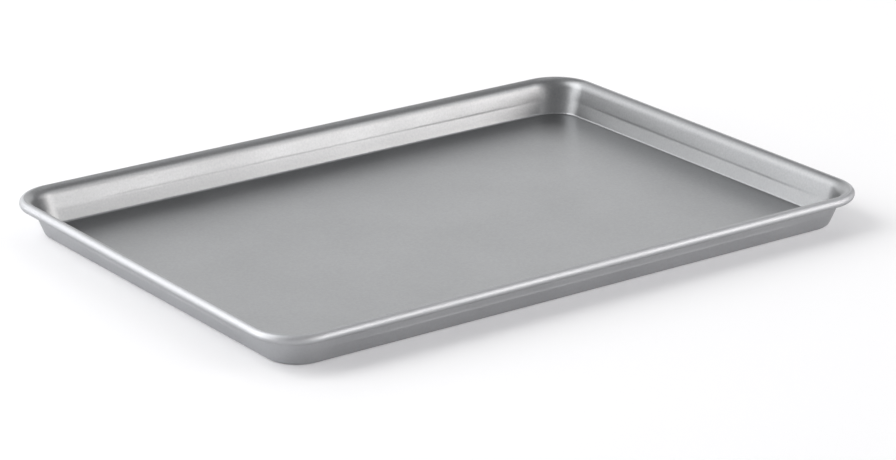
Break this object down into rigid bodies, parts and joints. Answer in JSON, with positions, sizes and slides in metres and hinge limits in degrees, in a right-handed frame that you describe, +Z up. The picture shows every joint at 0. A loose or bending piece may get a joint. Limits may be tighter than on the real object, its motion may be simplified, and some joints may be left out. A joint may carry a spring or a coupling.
{
  "type": "jelly roll pan",
  "caption": "Shallow oblong steel baking tray with sloping creased walls, rounded corners and an edge rolled over a wire.",
  "frame": {"origin": "centre of the underside of the flat base, on the surface the pan stands on", "axes": "+X along the long side, +Y along the short side, +Z up out of the open top"},
  "size_m": [0.4572, 0.325, 0.0241],
  "materials": {
    "coated_steel": "satin grey non-stick coat on drawn steel sheet",
    "steel_wire": "bare drawn steel wire"
  },
  "bodies": {
    "root": {"pan_shell": "coated_steel", "rim_wire": "steel_wire"}
  },
  "joints": []
}
